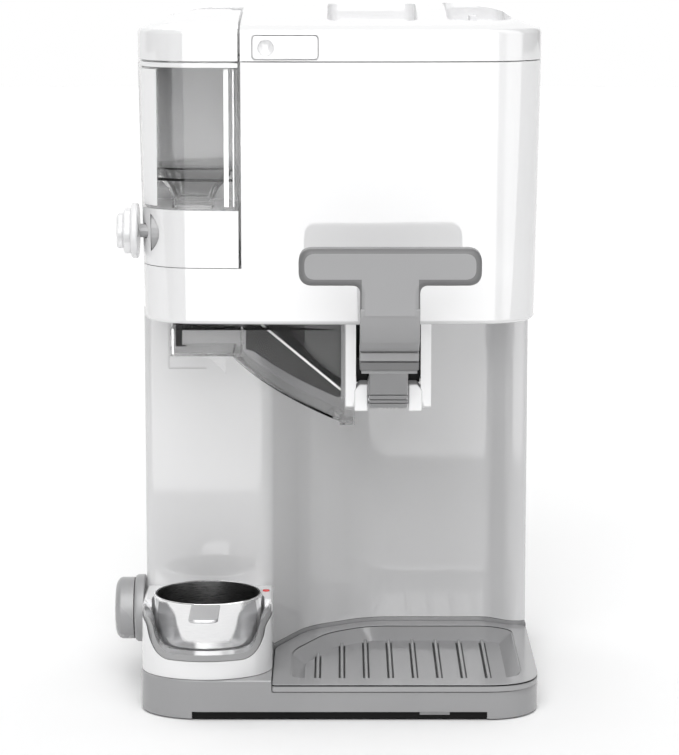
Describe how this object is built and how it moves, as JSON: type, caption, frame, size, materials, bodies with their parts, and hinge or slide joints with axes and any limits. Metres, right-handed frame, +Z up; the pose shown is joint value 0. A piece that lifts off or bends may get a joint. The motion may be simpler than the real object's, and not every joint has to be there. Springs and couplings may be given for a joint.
{
  "type": "ice cream maker",
  "caption": "Countertop soft-serve ice cream maker with a rotating freezer bowl, mix-in hopper, chute, lever spout, warm cup pod and drip tray.",
  "frame": {"origin": "on the table, under the middle of the whole object's box", "axes": "+Z up, the front faces -Y, the dial and the hopper are on the -X side"},
  "size_m": [0.254, 0.29, 0.4125],
  "materials": {
    "white_gloss": "white gloss moulding",
    "grey_satin": "mid grey satin moulding",
    "pale_grey": "pale grey satin moulding",
    "clear_plastic": "clear, faintly smoked moulding",
    "smoked_plastic": "dark smoked clear moulding",
    "stainless": "spun and brushed stainless steel",
    "bowl_aluminium": "satin aluminium",
    "steel": "plain steel",
    "dark_metal": "dark coated metal",
    "rubber": "dark grey rubber",
    "seal_rubber": "grey food-grade seal",
    "red_lens": "red indicator lens",
    "board": "circuit board"
  },
  "bodies": {
    "root": {"plinth": "grey_satin", "bottom_cover": "grey_satin", "foot_1": "rubber", "foot_2": "rubber", "foot_3": "rubber", "foot_4": "rubber", "column_shell": "white_gloss", "rear_cover": "white_gloss", "rear_screw_1": "steel", "rear_screw_2": "steel", "rear_screw_3": "steel", "rear_screw_4": "steel", "cord_gland": "rubber", "upper_housing": "white_gloss", "top_deck": "white_gloss", "bowl_well": "white_gloss", "bowl_bearing": "pale_grey", "idler_pin": "steel", "gear_motor": "dark_metal", "motor_bracket": "steel", "spout_bracket": "white_gloss", "spout_nozzle": "white_gloss", "star_tip": "white_gloss", "lever_pin": "steel", "return_spring": "steel", "cup_pod": "white_gloss", "warming_plate": "dark_metal", "cup_heater": "dark_metal", "indicator_lens": "red_lens", "dial_switch": "dark_metal", "control_board": "board"},
    "lid": {"lid_shell": "white_gloss", "lid_liner": "white_gloss", "lid_seal": "seal_rubber", "mixing_paddle": "white_gloss"},
    "lid_button": {"lid_button": "white_gloss"},
    "pour_cap": {"pour_cap": "white_gloss"},
    "bowl": {"bowl_outer": "bowl_aluminium", "bowl_liner": "bowl_aluminium", "bowl_gear": "pale_grey"},
    "idler": {"idler_gear": "pale_grey"},
    "pinion": {"motor_pinion": "steel"},
    "hopper": {"hopper_container": "clear_plastic", "hopper_funnel": "clear_plastic", "hopper_base": "white_gloss", "cap_hinge_pin": "steel"},
    "hopper_cap": {"hopper_cap": "white_gloss"},
    "drum": {"dosing_drum": "pale_grey", "hopper_knob": "pale_grey"},
    "chute": {"mix_in_chute": "smoked_plastic"},
    "lever": {"lever_handle": "grey_satin"},
    "plunger": {"valve_plunger": "white_gloss", "plunger_seal": "seal_rubber"},
    "dial": {"dial_knob": "pale_grey", "dial_skirt": "pale_grey"},
    "cup": {"melting_cup": "stainless"},
    "tray": {"drip_tray": "grey_satin"}
  },
  "joints": [
    {"name": "lid_lift", "type": "slide", "parent": "root", "child": "lid", "axis": [0, 0, 1], "range_m": [0, 0.16]},
    {"name": "lid_button_press", "type": "slide", "parent": "lid", "child": "lid_button", "axis": [0, 1, 0], "range_m": [0, 0.0022], "stiffness_N_per_m": 600, "springref_m": -0.002},
    {"name": "pour_cap_lift", "type": "slide", "parent": "lid", "child": "pour_cap", "axis": [0, 0, 1], "range_m": [0, 0.05]},
    {"name": "bowl_spin", "type": "hinge", "parent": "root", "child": "bowl", "pos_m": [0.03815, 0.005, 0.25], "axis": [0, 0, 1], "continuous": true},
    {"name": "idler_spin", "type": "hinge", "parent": "root", "child": "idler", "pos_m": [-0.03422, 0.05022, 0.242], "axis": [0, 0, 1], "continuous": true},
    {"name": "pinion_spin", "type": "hinge", "parent": "root", "child": "pinion", "pos_m": [-0.06362, 0.06859, 0.242], "axis": [0, 0, 1], "continuous": true},
    {"name": "hopper_lift", "type": "slide", "parent": "root", "child": "hopper", "axis": [0, 0, 1], "range_m": [0, 0.115]},
    {"name": "hopper_cap_hinge", "type": "hinge", "parent": "hopper", "child": "hopper_cap", "pos_m": [-0.07035, -0.0144, 0.4048], "axis": [-1, 0, 0], "range_deg": [0, 80]},
    {"name": "drum_turn", "type": "hinge", "parent": "hopper", "child": "drum", "pos_m": [-0.10035, -0.06, 0.2846], "axis": [1, 0, 0], "continuous": true},
    {"name": "chute_slide", "type": "slide", "parent": "root", "child": "chute", "axis": [0, -1, 0], "range_m": [0, 0.045]},
    {"name": "lever_pull", "type": "hinge", "parent": "root", "child": "lever", "pos_m": [0.03775, -0.07, 0.187], "axis": [1, 0, 0], "range_deg": [0, 35], "stiffness_Nm_per_rad": 0.6, "springref_deg": -25.78},
    {"name": "plunger_rise", "type": "slide", "parent": "root", "child": "plunger", "axis": [0, 0, 1], "range_m": [0, 0.0235]},
    {"name": "dial_turn", "type": "hinge", "parent": "root", "child": "dial", "pos_m": [-0.11535, 0, 0.0464], "axis": [1, 0, 0], "range_deg": [0, 120]},
    {"name": "cup_lift", "type": "slide", "parent": "root", "child": "cup", "axis": [0, 0, 1], "range_m": [0, 0.06]},
    {"name": "tray_lift", "type": "slide", "parent": "root", "child": "tray", "axis": [0, 0, 1], "range_m": [0, 0.06]}
  ],
  "couplings": [
    {"joint": "idler_spin", "follows": "bowl_spin", "ratio": -3},
    {"joint": "pinion_spin", "follows": "bowl_spin", "ratio": 4.8},
    {"joint": "plunger_rise", "follows": "lever_pull", "m_per_rad": 0.038}
  ]
}
